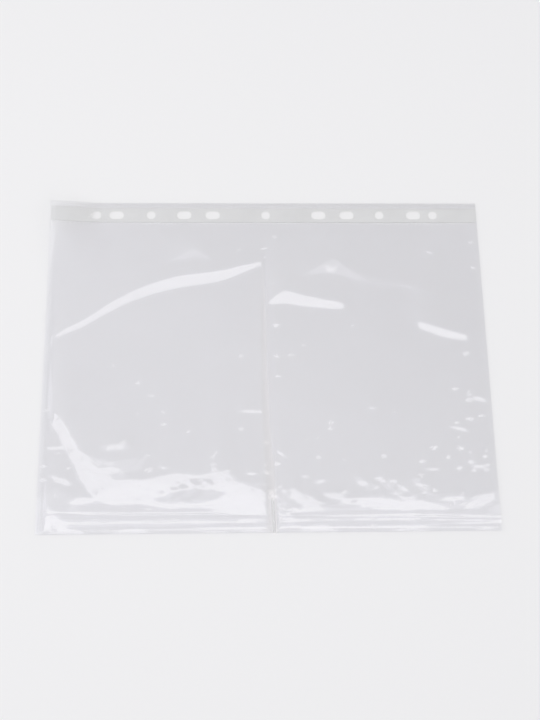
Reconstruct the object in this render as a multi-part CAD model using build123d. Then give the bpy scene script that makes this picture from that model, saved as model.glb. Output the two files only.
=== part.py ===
from build123d import *
import os
from math import hypot

# All sizes in millimetres. X runs along the punched strip, Y points to the strip, Z is up.
# The origin is on the underside, in the middle of the sheet.

# whole pocket, lying flat
POCKET_LENGTH = 304.0
POCKET_DEPTH = 238.0
FILM_THICKNESS = 0.08

# white strip between the two films
STRIP_WIDTH = 11.0
STRIP_THICKNESS = 0.42
TOP_MARGIN = 4.0
STRIP_END_GAP = 0.4

# punched holes, measured from the middle hole; the films stop short of the strip's holes by the rim
HOLE_DIAMETER = 6.0
SLOT_LENGTH = 10.0
HOLE_RIM = 0.4
HOLE_PATTERN_SHIFT = 0.5
ROUND_HOLE_STATIONS = [81.5, 120.0]
SLOT_STATIONS = [37.75, 58.0, 106.0]

# dotted welds along both edges of the strip
DOT_LENGTH = 1.6
DOT_WIDTH = 0.9
DOT_PITCH = 3.0
DOT_ROW_STANDOFF = 1.0

# weld across the closed end
END_BAR_LENGTH = 2.0
END_BAR_WIDTH = 1.0
END_BAR_PITCH = 2.35
END_WELD_INSET = 2.2

# centre crease, where the pocket folds in half
CREASE_X_AT_TOP = -3.7
CREASE_X_AT_BOTTOM = 4.3
CREASE_GAP = 0.2

# levels and edges that follow from the sizes above
STRIP_LEVEL = FILM_THICKNESS
FRONT_LEVEL = STRIP_LEVEL + STRIP_THICKNESS
STACK_HEIGHT = FRONT_LEVEL + FILM_THICKNESS
LEFT_EDGE = -POCKET_LENGTH / 2
RIGHT_EDGE = POCKET_LENGTH / 2
TOP_EDGE = POCKET_DEPTH / 2
BOTTOM_EDGE = -POCKET_DEPTH / 2
FOLD_RADIUS = STACK_HEIGHT / 2
FILM_BOTTOM = BOTTOM_EDGE + FOLD_RADIUS
STRIP_TOP = TOP_EDGE - TOP_MARGIN
STRIP_BOTTOM = STRIP_TOP - STRIP_WIDTH
HOLE_ROW = (STRIP_TOP + STRIP_BOTTOM) / 2
END_WELD_X = LEFT_EDGE + END_WELD_INSET
STRIP_LEFT = END_WELD_X + END_BAR_LENGTH / 2 + STRIP_END_GAP
CREASE_SLOPE = (CREASE_X_AT_TOP - CREASE_X_AT_BOTTOM) / POCKET_DEPTH
CREASE_HALF_GAP = CREASE_GAP / 2 * hypot(1, CREASE_SLOPE)


def crease_x(y):
    """Where the crease runs at this depth."""
    return CREASE_X_AT_BOTTOM + CREASE_SLOPE * (y - BOTTOM_EDGE)


def half_panel(side, near_y, far_y, outer_x, level, thickness):
    """A flat panel between two depths, from the outer edge to the crease."""
    step = side * CREASE_HALF_GAP
    corners = [
        (outer_x, near_y),
        (crease_x(near_y) + step, near_y),
        (crease_x(far_y) + step, far_y),
        (outer_x, far_y),
    ]
    outline = make_face(Polyline(*corners, close=True))
    return Pos(0, 0, level) * extrude(outline, amount=thickness, dir=(0, 0, 1))


def punched_holes(rim):
    """Cutters for the eleven holes, larger all round by the rim, tall enough for the whole stack."""
    round_xs = [0.0]
    for station in ROUND_HOLE_STATIONS:
        round_xs += [-station, station]
    slot_xs = []
    for station in SLOT_STATIONS:
        slot_xs += [-station, station]
    height = 3 * STACK_HEIGHT
    width = HOLE_DIAMETER + 2 * rim
    round_cutter = Cylinder(width / 2, height)
    slot_cutter = extrude(SlotOverall(SLOT_LENGTH + 2 * rim, width), amount=height / 2, both=True)
    cutters = []
    for x in round_xs:
        cutters.append(Pos(HOLE_PATTERN_SHIFT + x, HOLE_ROW, STACK_HEIGHT / 2) * round_cutter)
    for x in slot_xs:
        cutters.append(Pos(HOLE_PATTERN_SHIFT + x, HOLE_ROW, STACK_HEIGHT / 2) * slot_cutter)
    return cutters


def bottom_fold(side, outer_x):
    """The film turning over from the back to the front along the bottom edge."""
    middle = Pos(0, FILM_BOTTOM, STACK_HEIGHT / 2)
    ring = Circle(FOLD_RADIUS) - Circle(FOLD_RADIUS - FILM_THICKNESS)
    tube = middle * extrude(Plane.YZ * ring, amount=POCKET_LENGTH / 2, both=True)
    keep = half_panel(side, BOTTOM_EDGE, FILM_BOTTOM, outer_x, 0, STACK_HEIGHT)
    return tube & keep


def dot_row(side, y):
    """The weld dots of one row that lie on one side of the crease."""
    dot = Pos(0, y, STRIP_LEVEL + STRIP_THICKNESS / 2) * Box(DOT_LENGTH, DOT_WIDTH, STRIP_THICKNESS)
    room = CREASE_HALF_GAP + DOT_LENGTH
    count = int((RIGHT_EDGE - STRIP_LEFT) / DOT_PITCH)
    dots = []
    for index in range(count):
        x = STRIP_LEFT + (index + 0.5) * DOT_PITCH
        if side * (x - crease_x(y)) > room:
            dots.append(Pos(x, 0, 0) * dot)
    return Compound(children=dots)


def end_bars():
    """The short weld bars that close the left end."""
    bar = Box(END_BAR_LENGTH, END_BAR_WIDTH, STRIP_THICKNESS)
    count = int((TOP_EDGE - FILM_BOTTOM) / END_BAR_PITCH)
    bars = []
    for index in range(count):
        y = FILM_BOTTOM + (index + 0.5) * END_BAR_PITCH
        bars.append(Pos(END_WELD_X, y, STRIP_LEVEL + STRIP_THICKNESS / 2) * bar)
    return Compound(children=bars)


STRIP_HOLES = punched_holes(0)
FILM_HOLES = punched_holes(HOLE_RIM)
NODES = {}
for name, side, outer_x, strip_outer_x in [
    ("left", -1, LEFT_EDGE, STRIP_LEFT),
    ("right", 1, RIGHT_EDGE, RIGHT_EDGE),
]:
    back = half_panel(side, FILM_BOTTOM, TOP_EDGE, outer_x, 0, FILM_THICKNESS)
    front = half_panel(side, FILM_BOTTOM, TOP_EDGE, outer_x, FRONT_LEVEL, FILM_THICKNESS)
    strip = half_panel(side, STRIP_BOTTOM, STRIP_TOP, strip_outer_x, STRIP_LEVEL, STRIP_THICKNESS)
    NODES["back_film_" + name] = back - FILM_HOLES
    NODES["front_film_" + name] = front - FILM_HOLES
    NODES["punched_strip_" + name] = strip - STRIP_HOLES
    NODES["bottom_fold_" + name] = bottom_fold(side, outer_x)
    NODES["strip_upper_weld_" + name] = dot_row(side, STRIP_TOP + DOT_ROW_STANDOFF)
    NODES["strip_lower_weld_" + name] = dot_row(side, STRIP_BOTTOM - DOT_ROW_STANDOFF)
NODES["end_weld"] = end_bars()

os.makedirs("parts", exist_ok=True)
for node, shape in NODES.items():
    export_step(shape, "parts/" + node + ".step")
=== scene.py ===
import random
from collections import namedtuple
from math import atan2, cos, pi, radians, sin

import bpy
import numpy as np
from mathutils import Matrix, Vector


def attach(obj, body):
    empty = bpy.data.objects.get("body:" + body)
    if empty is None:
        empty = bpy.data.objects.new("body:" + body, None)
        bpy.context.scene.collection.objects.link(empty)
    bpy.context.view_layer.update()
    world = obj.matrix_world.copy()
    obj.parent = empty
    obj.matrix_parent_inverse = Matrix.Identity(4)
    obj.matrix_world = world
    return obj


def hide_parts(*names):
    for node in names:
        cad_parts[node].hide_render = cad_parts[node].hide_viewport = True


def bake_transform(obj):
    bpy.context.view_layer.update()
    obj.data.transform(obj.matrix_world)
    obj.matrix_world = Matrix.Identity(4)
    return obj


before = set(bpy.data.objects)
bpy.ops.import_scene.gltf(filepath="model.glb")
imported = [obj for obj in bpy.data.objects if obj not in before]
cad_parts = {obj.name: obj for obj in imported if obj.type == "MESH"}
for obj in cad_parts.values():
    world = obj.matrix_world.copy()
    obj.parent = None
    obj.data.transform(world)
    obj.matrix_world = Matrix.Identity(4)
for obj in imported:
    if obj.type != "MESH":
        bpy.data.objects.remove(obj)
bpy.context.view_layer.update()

# Sizes are in millimetres until a mesh is made; the frame is in metres.
MM = 0.001

# the pocket lying flat
LEFT, RIGHT = -152.0, 152.0
TOP, BOTTOM = 119.0, -119.0
FILM = 0.08
BACK_LEVEL = FILM / 2
STRIP_THICK = 0.42
STRIP_SHEET = 0.16
STRIP_PLAY = 0.03
STRIP_LEVEL = FILM + STRIP_PLAY + STRIP_SHEET / 2
FRONT_LEVEL = FILM + STRIP_THICK + FILM / 2
FOLD_LEVEL = (FRONT_LEVEL + BACK_LEVEL) / 2
FOLD_RADIUS = (FRONT_LEVEL - BACK_LEVEL) / 2
FOLD_Y = BOTTOM + FOLD_RADIUS + FILM / 2

# the white strip, its holes and its dotted welds
STRIP_LEFT = -151.4
STRIP_TOP, STRIP_BOTTOM = 115.0, 104.0
HOLE_ROW = 109.5
HOLE_SHIFT = 0.5
HOLE_RADIUS = 3.0
SLOT_HALF_STRAIGHT = 2.0
HOLE_RIM = 0.4
ROUND_STATIONS = (-120.0, -81.5, 0.0, 81.5, 120.0)
SLOT_STATIONS = (-106.0, -58.0, -37.75, 37.75, 58.0, 106.0)
UPPER_DOT_ROW = 116.0
LOWER_DOT_ROW = 102.7
FIRST_DOT, DOT_PITCH, DOT_COUNT = -147.0, 3.0, 99
DOT_LONG, DOT_WIDE = 1.4, 0.95
WELD_FOOT, DOT_CROWN = 0.46, 0.66

# the weld of the closed end: slanting bars and a row of spots beside them
FIRST_BAR, BAR_PITCH, BAR_COUNT = -117.3, 2.35, 101
BAR_X, BAR_LONG, BAR_WIDE, BAR_LEAN = -150.4, 1.9, 0.62, 0.75
SPOT_X, SPOT_LONG, SPOT_WIDE, SPOT_STEP = -148.8, 0.9, 0.72, 1.1
BAR_CROWN = 0.62

# the centre crease, which slants a little
CREASE_AT_TOP, CREASE_AT_BOTTOM = -3.7, 4.3
CREASE_LEAN = (CREASE_AT_TOP - CREASE_AT_BOTTOM) / (TOP - BOTTOM)
CREASE_MIDDLE = (CREASE_AT_TOP + CREASE_AT_BOTTOM) / 2

# the sides of its pressed band, away from the line, and the heights between which they change
BAND_LEFT, BAND_LEFT_MORE = -1.2, -4.2
BAND_RIGHT, BAND_RIGHT_LESS = 0.9, -1.5
BAND_WIDENS = (100, -60)
BAND_WAIST_ABOVE = (60, -20)
BAND_WAIST_BELOW = (-85, -45)

# where the film comes free of the strip's weld and of the end weld, and where it lies loosest
FREE_OF_STRIP = (102.2, 82)
FREE_OF_END = (-148.4, -144.5)
LOOSEST = (-35, -95)

# the closed top corner, which stands off the table
CORNER_RISE = 4.2
CORNER_ACROSS = (-114, LEFT)
CORNER_UP = (56, TOP)

# the eye and the lamp overhead, for the tilts that glint
EYE = (-30.08, -266.55, 758.28)
LAMP_HEIGHT = 2000.0


def ease(start, end, value):
    """Nought before start, one after end, and a smooth way between them."""
    t = np.clip((value - start) / (end - start), 0, 1)
    return t * t * (3 - 2 * t)


def crease_x(y):
    return CREASE_MIDDLE + CREASE_LEAN * y


def smooth_line(points):
    """A smooth height over x through the points, as a function."""
    xs, ys = np.array(points, float).T
    slopes = np.gradient(ys, xs)

    def at(x):
        i = np.clip(np.searchsorted(xs, x) - 1, 0, len(xs) - 2)
        step = xs[i + 1] - xs[i]
        t = np.clip((x - xs[i]) / step, 0, 1)
        start = ys[i] * (1 + 2 * t) * (1 - t) ** 2 + slopes[i] * step * t * (1 - t) ** 2
        end = ys[i + 1] * t * t * (3 - 2 * t) + slopes[i + 1] * step * t * t * (t - 1)
        return start + end

    return at


Swell = namedtuple("Swell", "line width tilt tail ends corner", defaults=[0.4])


def swell_height(x, y, swell):
    """A bank that climbs at an even tilt across a line, with crisp corners, then sinks away behind it."""
    half = smooth_line(swell.width)(x) / 2
    across = y - smooth_line(swell.line)(x)
    low, high = (across + half) / swell.corner, (across - half) / swell.corner
    climb = swell.corner * (np.logaddexp(0, low) - np.logaddexp(0, high))
    sink = 1 / (1 + (np.maximum(across - half, 0) / swell.tail) ** 2)
    begin, whole, fade, end = swell.ends
    part = ease(begin, whole, x) * (1 - ease(fade, end, x))
    return smooth_line(swell.tilt)(x) * climb * sink * part


def glint_tilt(y):
    """The tilt at which film at y turns the middle of the lamp to the eye."""
    return np.tan((np.arctan2(y - EYE[1], EYE[2]) + np.arctan2(y, LAMP_HEIGHT)) / 2)


def zigzag(turns):
    """A wave of straight flanks between minus one and one."""
    return 4 * np.abs(turns - np.floor(turns + 0.5)) - 1


def ripple(turns):
    """A round wave between minus one and one."""
    return np.sin(2 * pi * turns)


def waves(x, y, seed, count, shortest, longest, stretch, shape=ripple):
    """Uneven waves about nought, longer along x by the stretch."""
    draw = random.Random(seed)
    total = np.zeros_like(x)
    for _ in range(count):
        length = shortest * (longest / shortest) ** draw.random()
        turn = draw.uniform(0, 2 * pi)
        along = (x / stretch * cos(turn) + y * sin(turn)) / length
        side = (y * cos(turn) - x / stretch * sin(turn)) * 2 * pi / (length * draw.uniform(1.5, 3))
        total += shape(along + draw.uniform(0, 1) + 0.19 * np.sin(side + draw.uniform(0, 2 * pi)))
    return total / count ** 0.5


def corner_lift(x, y):
    """The corner at the strip's closed end stands a little off the table."""
    return CORNER_RISE * ease(*CORNER_ACROSS, x) * ease(*CORNER_UP, y)


# the large swells that mirror the lamp: lines, widths and tilts over x, from the photo's streaks
LONG_LEFT = Swell(
    line=[
        (-150, 13.5), (-138, 20.5), (-127, 26), (-107, 39), (-91, 47.5), (-75, 53.5), (-59, 57.5),
        (-43, 60), (-36, 61), (-19.5, 66), (-5, 71),
    ],
    width=[(-150, 3.4), (-138, 4.6), (-110, 6.6), (-70, 9), (-40, 8.6), (-20, 6.6), (-5, 4)],
    tilt=[(-150, 0.21), (-75, 0.235), (-5, 0.27)],
    tail=16,
    ends=(-155, -148, -5, 0),
)
RIGHT_OF_CREASE = Swell(
    line=[(1, 41.5), (6, 43.5), (12, 45.8), (22, 44), (36, 41.5), (52, 39.5), (60, 39)],
    width=[(1, 2), (6, 6.5), (13, 9.6), (20, 9), (38, 7), (52, 5), (58, 2)],
    tilt=[(1, 0.235), (60, 0.22)],
    tail=26,
    ends=(-1, 3, 53, 58),
)
FAR_RIGHT = Swell(
    line=[(100, 27), (106, 25), (124, 18.5), (139, 15.5), (146, 15)],
    width=[(100, 4), (112, 6.4), (130, 5.6), (146, 4)],
    tilt=[(100, 0.21), (146, 0.20)],
    tail=22,
    ends=(100, 108, 136, 144),
)
FAINT_LEFT = Swell(
    line=[(-130, 58), (-115, 60.5), (-90, 64), (-72, 72), (-60, 75.5), (-50, 78.5), (-42, 76), (-33, 72)],
    width=[(-130, 3), (-90, 3), (-72, 3), (-60, 6.5), (-50, 9.5), (-42, 6.5), (-33, 2)],
    tilt=[(-130, 0.163), (-90, 0.175), (-72, 0.236), (-50, 0.246), (-33, 0.241)],
    tail=26,
    ends=(-132, -120, -38, -31),
)
FAINT_RIGHT = Swell(
    line=[(22, 60), (36, 66), (49, 68.5), (60, 63), (76, 57.5), (98, 54), (124, 44)],
    width=[(22, 3), (36, 7), (48, 12), (62, 8), (90, 6.5), (124, 4)],
    tilt=[(22, 0.2), (50, 0.2), (58, 0.168), (64, 0.15), (124, 0.132)],
    tail=12,
    ends=(20, 30, 116, 126),
)
LOW_LEFT = Swell(
    line=[
        (-150, -36.5), (-144, -42.5), (-139, -48.5), (-134.5, -55.3), (-129, -65), (-123, -75.2),
        (-117.5, -82.3), (-112, -87), (-105.5, -89.8), (-99, -91.5), (-80, -91.4), (-60, -91.5),
        (-45, -91.5), (-31, -92), (-20, -95), (-5, -97.5), (0, -98.5),
    ],
    width=[
        (-150, 8), (-144, 13), (-139, 17.5), (-129, 19.5), (-123, 20), (-117, 20.5), (-110, 20),
        (-99, 17.5), (-80, 17), (-60, 22), (-45, 21), (-31, 26), (-20, 20), (-10, 16), (0, 11),
    ],
    tilt=[(-150, 0.135), (-130, 0.125), (-115, 0.11), (-100, 0.095), (-60, 0.088), (0, 0.08)],
    tail=40,
    ends=(-156, -149, -4, 2),
    corner=0.35,
)
CRESCENT = Swell(
    line=[
        (-126, -64), (-120, -69), (-110, -73.8), (-100, -75.7), (-90, -74.5), (-83, -71), (-78, -66.7),
        (-74, -63),
    ],
    width=[(-126, 2), (-120, 5), (-110, 8.5), (-100, 11), (-90, 11), (-83, 7), (-74, 2)],
    tilt=[(-126, 0.065), (-74, 0.061)],
    tail=30,
    ends=(-128, -122, -80, -75),
    corner=0.3,
)
LOW_CORNER = Swell(
    line=[(-152, -107), (-146.5, -108.5), (-141, -111), (-136, -113.5), (-129, -116.5)],
    width=[(-152, 18), (-146.5, 16), (-141, 12.5), (-136, 8), (-129, 3)],
    tilt=[(-152, 0.075), (-129, 0.07)],
    tail=12,
    ends=(-160, -155, -134, -127),
    corner=0.3,
)
SWELLS = (LONG_LEFT, RIGHT_OF_CREASE, FAR_RIGHT, FAINT_LEFT, FAINT_RIGHT, LOW_LEFT, CRESCENT, LOW_CORNER)

# small banks that glint: x, y, half length, half width and lean
GLINT_BANKS = [
    (-101, -61.8, 11, 3.4, 0.0), (-137.5, -83.3, 8, 2.4, -0.42), (-123, -97.5, 8, 2.2, 0.1),
    (-143, -61.5, 6, 1.6, 0.0),
    (64, -88, 8, 3.2, -0.5), (82, -90, 15, 4.6, -0.5), (102, -90, 8, 3.2, -0.6),
    (85, -102, 32, 4.4, -0.1), (140, -99, 11, 3.2, 0.4), (21, -97, 13, 4.6, -0.45), (11, -108, 8, 6, -0.9),
    (47, -97, 11, 2.4, -0.25), (-12, -37, 9, 1.6, -0.05), (8.7, -67, 3.4, 1.6, -0.8), (1.3, 96, 3, 1.3, 0.0),
    (4, 56, 4, 1.4, 0.45), (37.5, 90.6, 3, 1.2, 0.1), (7, 25, 4, 1.5, 0.1), (8, -12, 3.4, 1.2, 0.0),
    (144, -29, 5, 1.8, -0.3), (136, -43, 4, 1.4, 0.0), (129, -50, 7, 1.3, -0.25), (141, -76, 5, 1.7, -0.1),
    (70, -35, 3, 1.2, 0.0), (116, 80, 5, 1.4, -0.2), (-148, 10, 2.5, 2.0, 0.0), (121, -98, 9, 2.2, 0.1),
    (108, -78, 5, 1.3, 0.0), (35, -86, 5, 1.2, 0.0), (-70, -75.5, 3, 1.4, 0.0), (-12, -80, 4, 1.2, 0.0),
]
# banks that take the glint away again
DULL_BANKS = [(-51, -95, 23, 4.2, 0.08), (-100, -101.5, 16, 1.6, 0.0)]


def small_banks(x, y, banks, seed):
    """Leaf-shaped banks with uneven edges, each climbing at the tilt that glints and sinking away behind."""
    draw = random.Random(seed)
    total = np.zeros_like(x)
    for cx, cy, long, wide, lean in banks:
        u = (x - cx) / long
        uneven = 0.3 * np.sin(x * 2 * pi / draw.uniform(4, 9) + draw.uniform(0, 2 * pi))
        half = wide * np.sqrt(np.maximum(1 - u * u, 0)) * (1 + uneven)
        across = y - cy - lean * (x - cx)
        climb = np.clip(across + half, 0, 2 * half)
        sink = 1 / (1 + (np.maximum(across - half, 0) / 7) ** 2)
        total += glint_tilt(cy) * climb * sink
    return total


def bottom_lines(x, y):
    """Thin lines pressed along the bottom edge, and the old fold line above them."""
    stripes = 0.11 * waves(x, y, 17, 4, 4.2, 9.0, 24, zigzag)
    part = ease(-103, -107, y) * (1 - 0.8 * ease(-118, -134, x))
    old_fold = y + 106.2 + 0.0165 * (x + 110) + 0.3 * np.sin(x / 19)
    return stripes * part - 0.10 * np.exp(-((old_fold / 0.8) ** 2))


def crease_sides(y):
    """How far the two sides of the pressed crease lie from its line."""
    left_side = BAND_LEFT + BAND_LEFT_MORE * ease(*BAND_WIDENS, y)
    right_side = BAND_RIGHT + BAND_RIGHT_LESS * ease(*BAND_WAIST_ABOVE, y) * ease(*BAND_WAIST_BELOW, y)
    return left_side, right_side


def crease_groove(x, y):
    """The flattened band where the pocket was folded in half, wider towards the bottom."""
    from_line = x - crease_x(y)
    left_side, right_side = crease_sides(y)
    drop = ease(left_side - 1.5, left_side + 1.5, from_line)
    rise = ease(right_side - 2.6, right_side + 0.4, from_line)
    swelling = 0.12 * np.exp(-((from_line / 9) ** 2))
    return swelling + (0.05 + 0.19 * ease(100, 30, y)) * (rise - drop)


def crease_foot(x, y):
    """One where the crease is pressed flat by the bottom edge, and nought elsewhere."""
    from_line = x - crease_x(y)
    left_side = crease_sides(y)[0] - 0.6 * ease(-100, -118, y)
    return ease(left_side - 0.4, left_side + 0.4, from_line) * ease(2.5, 1.7, from_line) * ease(-90, -97, y)


def front_height(x, y):
    """How high the middle of the front film lies, before the corner lifts."""
    above_fold = ease(FOLD_Y, FOLD_Y + 1.6, y)
    free = ease(*FREE_OF_STRIP, y) * ease(*FREE_OF_END, x) * above_fold
    pressed = crease_foot(x, y)
    low_part = ease(*LOOSEST, y)
    loose = (0.12 + 0.88 * low_part) * (1 - 0.8 * ease(-104, -122, x))
    wx = x + loose * (0.8 * waves(x, y, 71, 6, 9, 26, 1.3) + 0.4 * waves(x, y, 73, 5, 4, 8, 1.6))
    wy = y + loose * (0.5 * waves(x, y, 72, 6, 9, 26, 1.3) + 0.25 * waves(x, y, 74, 5, 4, 8, 1.6))
    body = 0.5 * ease(-45, -114, y) + sum(swell_height(wx, wy, swell) for swell in SWELLS)
    body += 0.09 * waves(x, y, 5, 7, 40, 110, 1.6)
    body += (0.02 + 0.05 * low_part) * waves(wx, wy, 8, 6, 14, 40, 1.6, zigzag)
    body += (0.004 + 0.012 * low_part) * waves(wx, wy, 9, 5, 6, 13, 1.5, zigzag)
    body += small_banks(wx, wy, GLINT_BANKS, 31) - small_banks(wx, wy, DULL_BANKS, 32)
    height = np.maximum(free * (1 - 0.92 * pressed) * body, -0.2 * free)
    pucker = 0.05 * ease(88, 101, y) * ease(102.4, 101.4, y) * np.sin(x * 2 * pi / 7.3 + 2 * np.sin(x / 17))
    lines = bottom_lines(x, y) * ease(FOLD_Y, FOLD_Y + 1.0, y) * ease(-149.5, -147, x) * (1 - 0.9 * pressed)
    crease = crease_groove(x, y) * ease(FOLD_Y, FOLD_Y + 1.5, y) * ease(103.5, 100, y)
    return FRONT_LEVEL + height + lines + crease + pucker


def back_height(x, y):
    """How high the middle of the back film lies, before the corner lifts."""
    part = ease(102, 94, y) * ease(FOLD_Y, FOLD_Y + 4, y) * ease(-147, -140, x)
    soft = 0.10 + 0.08 * waves(x, y, 21, 6, 26, 80, 1.5)
    flat_by_crease = 1 - np.exp(-(((x - crease_x(y)) / 7) ** 2))
    return BACK_LEVEL + part * flat_by_crease * np.clip(soft, 0, 0.28)


# meshes


def spread(start, end, step):
    """Even places from start to end, about a step apart."""
    return list(np.linspace(start, end, max(2, round(abs(end - start) / step) + 1)))


def merged(*runs):
    """Runs of places joined end to end, each shared end kept once."""
    joined = list(runs[0])
    for run in runs[1:]:
        joined += run[1:]
    return np.array(joined)


def hole_outline(station, half_straight, radius, points):
    """A round hole, or a slot where there is a straight, against the clock."""
    outline = []
    for k in range(points):
        turn = 2 * pi * (k + 0.5) / points
        centre = station + HOLE_SHIFT + (half_straight if cos(turn) > 0 else -half_straight)
        outline.append((centre + radius * cos(turn), HOLE_ROW + radius * sin(turn)))
    return outline


def hole_outlines(rim):
    """The outlines of the eleven holes, larger all round by the rim."""
    rounds = [hole_outline(s, 0, HOLE_RADIUS + rim, 36) for s in ROUND_STATIONS]
    slots = [hole_outline(s, SLOT_HALF_STRAIGHT, HOLE_RADIUS + rim, 36) for s in SLOT_STATIONS]
    return rounds + slots


def ring_faces(points, border, ring, middle):
    """Triangles between the border of the cells that were taken out and the hole."""

    def turn(k):
        return atan2(points[k][1] - HOLE_ROW, points[k][0] - middle)

    outer, inner = sorted(border, key=turn), sorted(ring, key=turn)
    faces, i, j = [], 0, 0
    while i < len(outer) or j < len(inner):
        a, b = outer[i % len(outer)], outer[(i + 1) % len(outer)]
        c, d = inner[j % len(inner)], inner[(j + 1) % len(inner)]
        next_outer = turn(b) + 2 * pi * (i + 1 >= len(outer))
        next_inner = turn(d) + 2 * pi * (j + 1 >= len(inner))
        if j >= len(inner) or i < len(outer) and next_outer <= next_inner:
            faces.append((a, b, c))
            i += 1
        else:
            faces.append((a, d, c))
            j += 1
    return faces


def punched_grid(columns, rows, outlines):
    """A grid of flat points and faces with the outlines cut out of it."""
    wide, deep = len(columns), len(rows)
    points = [(x, y) for y in rows for x in columns]
    faces, gone = [], np.zeros((deep - 1, wide - 1), bool)
    for outline in outlines:
        xs, ys = np.array(outline).T
        i0 = np.searchsorted(columns, xs.min() - 0.4) - 1
        i1 = np.searchsorted(columns, xs.max() + 0.4)
        j0 = np.searchsorted(rows, ys.min() - 0.4) - 1
        j1 = np.searchsorted(rows, ys.max() + 0.4)
        gone[j0:j1, i0:i1] = True
        border = [j0 * wide + i for i in range(i0, i1)]
        border += [j * wide + i1 for j in range(j0, j1)]
        border += [j1 * wide + i for i in range(i1, i0, -1)]
        border += [j * wide + i0 for j in range(j1, j0, -1)]
        ring = list(range(len(points), len(points) + len(outline)))
        points += outline
        faces += ring_faces(points, border, ring, xs.mean())
    for j in range(deep - 1):
        for i in range(wide - 1):
            if not gone[j, i]:
                k = j * wide + i
                faces.append((k, k + 1, k + 1 + wide, k + wide))
    used = sorted({k for face in faces for k in face})
    new = {k: n for n, k in enumerate(used)}
    return np.array([points[k] for k in used]), [tuple(new[k] for k in face) for face in faces]


def vertex_normals(points, faces):
    normals = np.zeros_like(points)
    for corners in (3, 4):
        some = np.array([f for f in faces if len(f) == corners])
        if len(some):
            a, b, c = points[some[:, 0]], points[some[:, 1]], points[some[:, -1]]
            facing = np.cross(b - a, c - a)
            for k in range(corners):
                np.add.at(normals, some[:, k], facing)
    return normals / np.linalg.norm(normals, axis=1)[:, None]


def closed_sheet(points, faces, thickness):
    """Both faces of a sheet around its middle, and the rim that closes it."""
    normals = vertex_normals(points, faces)
    count = len(points)
    both = np.concatenate([points + normals * thickness / 2, points - normals * thickness / 2])
    under = [tuple(k + count for k in reversed(face)) for face in faces]
    sides = {(a, b) for face in faces for a, b in zip(face, face[1:] + face[:1])}
    rim = [(b, a, a + count, b + count) for a, b in sides if (b, a) not in sides]
    return both, faces + under + sorted(rim)


def make_piece(name, points, faces, flat, material, smooth_angle=50):
    """A smooth mesh from points in millimetres, with its flat layout as a UV map."""
    mesh = bpy.data.meshes.new(name)
    mesh.from_pydata([tuple(p) for p in points * MM], [], faces)
    layer = mesh.uv_layers.new(name="flat")
    corner_points = np.empty(len(mesh.loops), int)
    mesh.loops.foreach_get("vertex_index", corner_points)
    layer.data.foreach_set("uv", (np.array(flat)[corner_points] * MM).astype(np.float32).ravel())
    mesh.materials.append(material)
    mesh.shade_smooth()
    mesh.set_sharp_from_angle(angle=radians(smooth_angle))
    mesh.validate()
    piece = bpy.data.objects.new(name, mesh)
    bpy.context.scene.collection.objects.link(piece)
    return piece


# materials
FILM_IOR = 1.47
SPECKS_PER_METRE = 210


class Wire:
    """A socket of a node tree; arithmetic on it adds Math nodes."""

    def __init__(self, finish, socket):
        self.finish = finish
        self.socket = socket

    def math(self, operation, *values):
        inputs = dict(enumerate(values))
        return self.finish.add("ShaderNodeMath", {"operation": operation}, inputs)

    def __add__(self, other):
        return self.math("ADD", self, other)

    def __radd__(self, other):
        return self.math("ADD", other, self)

    def __sub__(self, other):
        return self.math("SUBTRACT", self, other)

    def __rsub__(self, other):
        return self.math("SUBTRACT", other, self)

    def __mul__(self, other):
        return self.math("MULTIPLY", self, other)

    def __rmul__(self, other):
        return self.math("MULTIPLY", other, self)

    def __abs__(self):
        return self.math("ABSOLUTE", self)

    def other(self, name):
        """Another output of the node that this socket belongs to."""
        return Wire(self.finish, self.socket.node.outputs[name])


class Finish:
    """A node tree that is put together from expressions."""

    def __init__(self, owner):
        owner.use_nodes = True
        self.tree = owner.node_tree
        self.tree.nodes.clear()

    def add(self, kind, settings=None, inputs=None, output=0):
        """A node with its settings, then its inputs by name or number; gives one output."""
        node = self.tree.nodes.new(kind)
        for name, value in (settings or {}).items():
            setattr(node, name, value)
        for name, value in (inputs or {}).items():
            if isinstance(value, Wire):
                self.tree.links.new(value.socket, node.inputs[name])
            else:
                node.inputs[name].default_value = value
        return Wire(self, node.outputs[output]) if len(node.outputs) else None

    def flat_place(self):
        """The place on the sheet when it is laid flat, in metres."""
        return self.add("ShaderNodeUVMap", {"uv_map": "flat"})

    def along(self, place):
        """The place's x and y as two values."""
        x = self.add("ShaderNodeSeparateXYZ", None, {0: place})
        return x, x.other("Y")

    def stretched(self, place, factors):
        return self.add("ShaderNodeVectorMath", {"operation": "MULTIPLY"}, {0: place, 1: factors})

    def noise(self, place, scale, detail=3.0, roughness=0.5):
        inputs = {"Vector": place, "Scale": scale, "Detail": detail, "Roughness": roughness}
        return self.add("ShaderNodeTexNoise", {"noise_dimensions": "2D"}, inputs)

    def step(self, value, start, end):
        """Nought to one, smoothly, as the value goes from start to end."""
        inputs = {"Value": value, "From Min": start, "From Max": end}
        return self.add("ShaderNodeMapRange", {"interpolation_type": "SMOOTHSTEP"}, inputs)

    def tint(self, factor, first, second):
        """The first colour where the factor is nought and the second where it is one."""
        first, second = (c if isinstance(c, Wire) else (*c, 1) for c in (first, second))
        return self.add("ShaderNodeMix", {"data_type": "RGBA"}, {0: factor, 6: first, 7: second}, 2)

    def ray(self, kind):
        """One on rays of the kind and nought on others."""
        return self.add("ShaderNodeLightPath", None, None, f"Is {kind} Ray")

    def surface(self, **inputs):
        named = {name.replace("_", " "): value for name, value in inputs.items()}
        shader = self.add("ShaderNodeBsdfPrincipled", None, named)
        self.add("ShaderNodeOutputMaterial", None, {"Surface": shader})


def new_finish(name):
    material = bpy.data.materials.new(name)
    return material, Finish(material)


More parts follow.
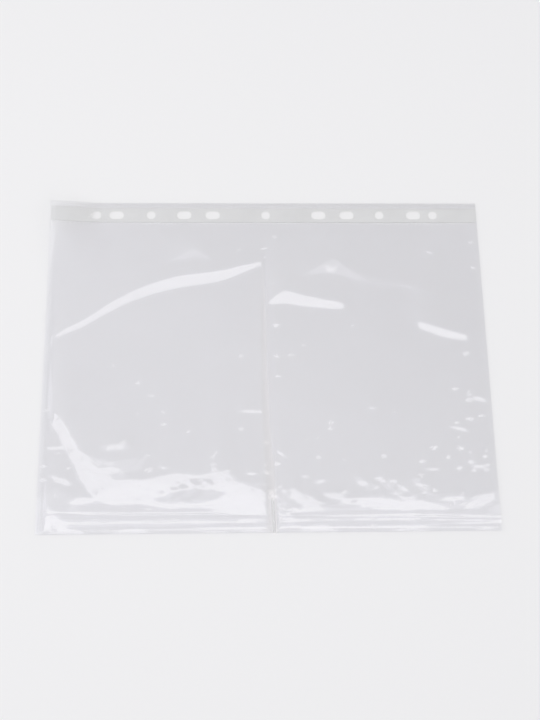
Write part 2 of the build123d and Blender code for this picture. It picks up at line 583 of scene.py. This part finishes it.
def crease_marks(finish, from_crease, y):
    """The marks along the crease: the band along it, with the wear of folding and painted shade of the fold,
    the pale line by it, and a painted highlight, a white line, at its foot.
    """
    widened = 1 - finish.step(y, BAND_WIDENS[1] * MM, BAND_WIDENS[0] * MM)
    above = 1 - finish.step(y, BAND_WAIST_ABOVE[1] * MM, BAND_WAIST_ABOVE[0] * MM)
    waist = above * finish.step(y, BAND_WAIST_BELOW[0] * MM, BAND_WAIST_BELOW[1] * MM)
    left_side = BAND_LEFT * MM + BAND_LEFT_MORE * MM * widened
    right_side = BAND_RIGHT * MM + BAND_RIGHT_LESS * MM * waist
    pale = 1 - finish.step(abs(from_crease - right_side), 0.0002, 0.0012)
    pale = pale * (1 - finish.step(y, 0.05, 0.09))
    # painted shade of the fold with its wear: a warmer, less mirror-like band along the crease
    worn_and_shaded = finish.step(from_crease - left_side, -0.001, 0.001)
    worn_and_shaded = worn_and_shaded * finish.step(right_side - from_crease, -0.0004, 0.0006) * (1 - finish.step(y, 0.02, 0.09))
    from_foot = abs(from_crease + 0.0014) + finish.step(y, -0.099, -0.093) * 0.002
    # painted highlight: a white line at the crease foot, where the fold would catch the lamp
    painted_glint_line = 1 - finish.step(from_foot, 0.0002, 0.0007)
    painted_glint_band = 1 - finish.step(from_foot, 0.0008, 0.0012)
    return worn_and_shaded, pale, painted_glint_line, painted_glint_band


def speck_height(finish, place, x, y, from_crease):
    """Small pyramids that glint, crowded in the lower part, at the right and by the crease."""
    lower_part = 1 - finish.step(y, -0.10, -0.02)
    at_right = finish.step(x, 0.09, 0.14) * (1 - finish.step(y, -0.03, 0.03))
    by_crease = (1 - finish.step(abs(from_crease - 0.006), 0.004, 0.008)) * (1 - finish.step(y, 0.08, 0.11))
    crowd = 0.018 + 0.19 * lower_part + 0.16 * at_right + 0.13 * by_crease
    flat = {"noise_dimensions": "2D"}
    stray = finish.add("ShaderNodeTexNoise", flat, {"Vector": place, "Scale": 420.0}, "Color")
    shifted = {0: stray, 1: (0.0016, 0.0012, 0), 2: place}
    uneven = finish.add("ShaderNodeVectorMath", {"operation": "MULTIPLY_ADD"}, shifted)
    pyramids = {"voronoi_dimensions": "2D", "distance": "MANHATTAN"}
    cells = {"Vector": finish.stretched(uneven, (0.55, 1, 1)), "Scale": float(SPECKS_PER_METRE)}
    from_speck = finish.add("ShaderNodeTexVoronoi", pyramids, cells)
    chance = finish.add("ShaderNodeSeparateColor", None, {0: from_speck.other("Color")})
    reach = 0.12 + chance.other("Green") * 0.28
    slope = reach - from_speck
    rise = slope.math("MAXIMUM", slope, 0.0)
    tilt = 0.17 + y * 0.8
    return finish.step(chance + crowd, 0.995, 1.0) * rise * tilt * (1 / SPECKS_PER_METRE)


def clear_film():
    """Thin clear film: faint lilac cloudiness, mirror gloss, fine crinkles and old fold marks, with painted
    shade towards the far corner and along the crease, and a painted highlight at the crease foot.
    """
    material, finish = new_finish("clear_film")
    place = finish.flat_place()
    x, y = finish.along(place)
    broad = finish.noise(place, 14, 2)
    fine = finish.noise(finish.stretched(place, (1, 1.8, 1)), 130, 4, 0.55)
    grain = finish.noise(place, 900, 2)
    scuffs = finish.noise(finish.stretched(place, (0.25, 1.6, 1)), 420, 5, 0.6)
    from_crease = x - (CREASE_MIDDLE * MM + y * CREASE_LEAN)
    worn_and_shaded, pale_line, painted_glint_line, painted_glint_band = crease_marks(finish, from_crease, y)
    low = 1 - finish.step(y, -0.112, -0.085)
    margin = finish.step(y, 0.1151, 0.1157)
    # painted shade: the film darkens towards the far right corner
    shaded_far_corner = finish.step(x * 0.7 + y, -0.08, 0.18)
    # Cloudiness of the film, with painted light mixed in: painted shade towards the far corner and in the
    # crease band, and a painted highlight along the crease foot.
    haze_and_painted_light = 0.002 + broad * 0.003 + finish.step(scuffs, 0.62, 0.8) * 0.006 + low * 0.002
    haze_and_painted_light = haze_and_painted_light + pale_line * 0.010 + worn_and_shaded * 0.004 + painted_glint_line * 0.45 + margin * 0.003 + shaded_far_corner * 0.006
    mirror = finish.add("ShaderNodeFresnel", None, {"IOR": FILM_IOR})
    height = fine * 0.000004 + grain * 0.000001 + speck_height(finish, place, x, y, from_crease)
    bumps = finish.add("ShaderNodeBump", None, {"Strength": 1.0, "Distance": 1.0, "Height": height})
    clean = finish.tint(margin * 0.5, (0.875, 0.87, 0.93), (0.68, 0.67, 0.72))
    creased = finish.tint(worn_and_shaded, clean, (0.86, 0.835, 0.855))
    finish.surface(
        # the white at the crease foot is a painted highlight, and the crease band's tint is partly painted
        # shade
        Base_Color=finish.tint(painted_glint_band, creased, (0.93, 0.93, 0.94)),
        Metallic=0.95 * (1 - pale_line * 0.5) * (1 - worn_and_shaded * 0.3) * (1 - painted_glint_band),
        Roughness=0.035 + finish.step(scuffs, 0.55, 0.85) * 0.08 + grain * 0.015,
        IOR=FILM_IOR,
        Alpha=mirror * 0.38 + haze_and_painted_light,
        Normal=bumps,
    )
    return material


def white_plastic():
    """The strip's milky plastic, a little cloudy."""
    material, finish = new_finish("white_strip_plastic")
    place = finish.flat_place()
    cloud = finish.noise(place, 60, 4)
    grain = finish.noise(finish.stretched(place, (0.3, 1, 1)), 700, 3)
    bumps = finish.add("ShaderNodeBump", None, {"Strength": 0.3, "Distance": 0.0002, "Height": grain})
    finish.surface(
        Base_Color=finish.tint(cloud, (0.785, 0.789, 0.78), (0.825, 0.829, 0.82)),
        Roughness=0.42 + grain * 0.2,
        IOR=1.49,
        Alpha=(0.92 + cloud * 0.05) * (1 - finish.ray("Shadow") * 0.9),
        Normal=bumps,
    )
    return material


def fused_film():
    """Welded spots, where heat has turned the clear film whitish and uneven."""
    material, finish = new_finish("fused_film")
    place = finish.flat_place()
    blots = finish.noise(place, 900, 3)
    bumps = finish.add("ShaderNodeBump", None, {"Strength": 0.5, "Distance": 0.0001, "Height": blots})
    finish.surface(
        Base_Color=finish.tint(blots, (0.90, 0.91, 0.93), (0.97, 0.97, 0.98)),
        Roughness=0.22 + blots * 0.25,
        IOR=FILM_IOR,
        Alpha=(0.7 + blots * 0.25) * (1 - finish.ray("Shadow") * 0.85),
        Normal=bumps,
    )
    return material


film_finish = clear_film()
strip_finish = white_plastic()
weld_finish = fused_film()

# places of the grid lines
FILM_COLUMNS = merged(
    spread(LEFT, -146, 0.75), spread(-146, -8, 2.0), spread(-8, 9, 0.7), spread(9, RIGHT, 2.0)
)
FRONT_ROWS = merged(
    spread(FOLD_Y, -103, 0.42), spread(-103, -55, 0.7), spread(-55, 100, 1.1), spread(100, 104, 0.5),
    spread(104, 115, 1.1), spread(115, TOP, 0.8),
)
BACK_COLUMNS = merged(spread(LEFT, -8, 2.6), spread(-8, 9, 0.8), spread(9, RIGHT, 2.6))
BACK_ROWS = merged(
    spread(FOLD_Y, 100, 2.6), spread(100, 104, 1.0), spread(104, 115, 1.1), spread(115, TOP, 1.0)
)
STRIP_COLUMNS = merged(spread(STRIP_LEFT, -8, 1.62), spread(-8, 9, 0.8), spread(9, RIGHT, 1.6))
STRIP_ROWS = np.array(spread(STRIP_BOTTOM, STRIP_TOP, 0.92))
FOLD_STEPS = 8


def make_front_film():
    """The front film with the round fold along its bottom edge."""
    turns = [pi * (FOLD_STEPS - k) / FOLD_STEPS for k in range(FOLD_STEPS)]
    fold_rows = [FOLD_Y - FOLD_RADIUS * turn for turn in turns]
    rows = np.array(fold_rows + list(FRONT_ROWS))
    flat, faces = punched_grid(FILM_COLUMNS, rows, hole_outlines(HOLE_RIM))
    x, s = flat.T
    y = np.maximum(s, FOLD_Y)
    z = front_height(x, y) + corner_lift(x, y)
    turn = np.maximum(FOLD_Y - s, 0) / FOLD_RADIUS
    folded = s < FOLD_Y - 1e-6
    y = np.where(folded, FOLD_Y - FOLD_RADIUS * np.sin(turn), y)
    z = np.where(folded, FOLD_LEVEL + FOLD_RADIUS * np.cos(turn), z)
    points, faces = closed_sheet(np.column_stack([x, y, z]), faces, FILM)
    return make_piece("front_film", points, faces, np.concatenate([flat, flat]), film_finish)


def make_back_film():
    flat, faces = punched_grid(BACK_COLUMNS, BACK_ROWS, hole_outlines(HOLE_RIM))
    x, y = flat.T
    z = back_height(x, y) + corner_lift(x, y)
    points, faces = closed_sheet(np.column_stack([x, y, z]), faces, FILM)
    return make_piece("back_film", points, faces, np.concatenate([flat, flat]), film_finish)


def make_white_strip():
    flat, faces = punched_grid(STRIP_COLUMNS, STRIP_ROWS, hole_outlines(0))
    x, y = flat.T
    z = STRIP_LEVEL + corner_lift(x, y)
    points, faces = closed_sheet(np.column_stack([x, y, z]), faces, STRIP_SHEET)
    return make_piece("white_strip", points, faces, np.concatenate([flat, flat]), strip_finish)


def weld_spot(cx, cy, long, wide, lean, crown):
    """A closed lens of fused film: a flat foot and a low crown."""
    around = 14
    rings = [(1.0, 0.0), (1.0, 0.45), (0.78, 0.85), (0.4, 1.0)]
    points, faces = [], []
    for size, rise in rings:
        for k in range(around):
            turn = 2 * pi * k / around
            u, v = size * long / 2 * cos(turn), size * wide / 2 * sin(turn)
            x, y = cx + u * cos(lean) - v * sin(lean), cy + u * sin(lean) + v * cos(lean)
            points.append((x, y, WELD_FOOT + (crown - WELD_FOOT) * rise))
    for ring in range(len(rings) - 1):
        for k in range(around):
            a, b = ring * around + k, ring * around + (k + 1) % around
            faces.append((a, b, b + around, a + around))
    faces.append(tuple(range(around - 1, -1, -1)))
    last = (len(rings) - 1) * around
    faces.append(tuple(range(last, last + around)))
    return points, faces


def make_weld_marks(name, spots):
    """Many weld spots as one piece."""
    points, faces = [], []
    for spot in spots:
        new_points, new_faces = weld_spot(*spot)
        faces += [tuple(k + len(points) for k in face) for face in new_faces]
        points += new_points
    points = np.array(points)
    points[:, 2] += corner_lift(points[:, 0], points[:, 1])
    return make_piece(name, points, faces, points[:, :2], weld_finish, 40)


def dot_row(y, seed):
    """The spots of one dotted weld, each a little different."""
    draw = random.Random(seed)
    spots = []
    for k in range(DOT_COUNT):
        size = draw.uniform(0.9, 1.1)
        lean = draw.uniform(-0.08, 0.08)
        place = FIRST_DOT + DOT_PITCH * k, y + draw.uniform(-0.08, 0.08)
        spots.append((*place, DOT_LONG * size, DOT_WIDE * size, lean, DOT_CROWN))
    return spots


def end_marks():
    """The slanting bars of the closed end's weld, and the spots beside them."""
    draw = random.Random(44)
    spots = []
    for k in range(BAR_COUNT):
        y = FIRST_BAR + BAR_PITCH * k
        spots.append((BAR_X, y, BAR_LONG, BAR_WIDE, BAR_LEAN + draw.uniform(-0.1, 0.1), BAR_CROWN))
        spots.append((SPOT_X + draw.uniform(-0.1, 0.1), y + SPOT_STEP, SPOT_LONG, SPOT_WIDE, 0, BAR_CROWN))
    return spots


front_film = make_front_film()
back_film = make_back_film()
white_strip = make_white_strip()
upper_dots = make_weld_marks("upper_dots", dot_row(UPPER_DOT_ROW, 61))
lower_dots = make_weld_marks("lower_dots", dot_row(LOWER_DOT_ROW, 62))
end_weld_marks = make_weld_marks("end_weld_marks", end_marks())

# for each piece: a kind of bending, which nothing here reads, and the solids it stands for, which are hidden
bending = {
    front_film: ("film", ["front_film", "bottom_fold"]),
    back_film: ("film", ["back_film"]),
    white_strip: ("strip", ["punched_strip"]),
    upper_dots: ("weld", ["strip_upper_weld"]),
    lower_dots: ("weld", ["strip_lower_weld"]),
}
for piece, (slot_name, solids) in bending.items():
    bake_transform(piece)
    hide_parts(*[f"{solid}_{side}" for solid in solids for side in ("left", "right")])
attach(end_weld_marks, "left_half")
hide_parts("end_weld")

# floor, light and camera, in metres
PALE = 0.863
FLOOR_HALF = 6.0
FLOOR_LEVEL = -0.0003
LAMP_SIZE, LAMP_RADIANCE, LAMP_COLOUR = (3.0, 0.40), 4.48, (1, 0.99, 0.95)
FRINGE_SIZE, FRINGE_RADIANCE, FRINGE_Y = (2.2, 0.15), 1.1, 0.285
WINDOW_SIZE, WINDOW_RADIANCE, WINDOW_PLACE = (1.2, 1.0), 1.3, (-1.7, 0.1, 1.1)
LENS, SENSOR = 58.796, 36
CAMERA_TURNS = (19.38758, -2.08054, -0.94804)


def make_floor():
    material, finish = new_finish("pale_floor")
    place = finish.add("ShaderNodeTexCoord", None, None, 3)
    away = finish.add("ShaderNodeVectorMath", {"operation": "LENGTH"}, {0: place}, 1)
    grain = finish.noise(place, 300, 3)
    seen = finish.ray("Camera") + finish.ray("Glossy") + finish.ray("Transmission")
    far = finish.step(away, 0.5, 1.1) * seen
    paper_colour = finish.tint(grain, (0.873, 0.873, 0.873), (0.879, 0.879, 0.879))
    paper = finish.add("ShaderNodeBsdfDiffuse", None, {"Color": paper_colour})
    glow = finish.add("ShaderNodeEmission", None, {"Color": (PALE, PALE, PALE, 1), "Strength": 1.0})
    mixed = finish.add("ShaderNodeMixShader", None, {0: far, 1: paper, 2: glow})
    finish.add("ShaderNodeOutputMaterial", None, {"Surface": mixed})
    mesh = bpy.data.meshes.new("floor")
    corners = [(-1, -1), (1, -1), (1, 1), (-1, 1)]
    mesh.from_pydata([(FLOOR_HALF * x, FLOOR_HALF * y, 0) for x, y in corners], [], [(0, 1, 2, 3)])
    mesh.materials.append(material)
    floor = bpy.data.objects.new("floor", mesh)
    floor.location.z = FLOOR_LEVEL
    bpy.context.scene.collection.objects.link(floor)


def soft_box(name, place, aim, size, radiance, colour=(1, 1, 1)):
    """A flat soft light of a given brightness that faces a point."""
    lamp = bpy.data.lights.new(name, "AREA")
    lamp.shape = "RECTANGLE"
    lamp.size, lamp.size_y = size
    lamp.energy = radiance * pi * size[0] * size[1]
    lamp.color = colour
    box = bpy.data.objects.new(name, lamp)
    box.location = place
    box.rotation_euler = (Vector(aim) - Vector(place)).to_track_quat("-Z", "Y").to_euler()
    bpy.context.scene.collection.objects.link(box)


def make_sky():
    """A pale band round the room that darkens overhead."""
    world = bpy.data.worlds.new("studio_room")
    bpy.context.scene.world = world
    finish = Finish(world)
    way = finish.add("ShaderNodeTexCoord", None, None, 0)
    side, ahead = finish.along(way)
    up = side.other("Z")
    over = finish.step(side * -0.8 - ahead, -0.58, -0.2) * (0.4 + 0.6 * finish.step(ahead, -0.3, 0.1))
    zenith = finish.tint(over, (0.0, 0.0, 0.03), (0.62, 0.62, 0.70))
    room_colour = finish.tint(up * up, (PALE, PALE, PALE), zenith)
    room = finish.add("ShaderNodeBackground", None, {"Color": room_colour})
    finish.add("ShaderNodeOutputWorld", None, {"Surface": room})


def make_camera():
    lens = bpy.data.cameras.new("camera")
    lens.lens, lens.sensor_width = LENS, SENSOR
    lens.clip_start = 0.01
    camera = bpy.data.objects.new("camera", lens)
    camera.location = Vector(EYE) * MM
    camera.rotation_euler = [radians(turn) for turn in CAMERA_TURNS]
    bpy.context.scene.collection.objects.link(camera)
    bpy.context.scene.camera = camera


make_floor()
make_sky()
lamp_level = LAMP_HEIGHT * MM
soft_box("overhead_light", (0, 0, lamp_level), (0, 0, 0), LAMP_SIZE, LAMP_RADIANCE, LAMP_COLOUR)
soft_box("overhead_fringe", (0, FRINGE_Y, lamp_level), (0, FRINGE_Y, 0), FRINGE_SIZE, FRINGE_RADIANCE)
soft_box("left_window", WINDOW_PLACE, (0, 0, 0), WINDOW_SIZE, WINDOW_RADIANCE)
make_camera()
bpy.context.scene.view_settings.view_transform = "Standard"
bpy.context.scene.cycles.transparent_max_bounces = 32
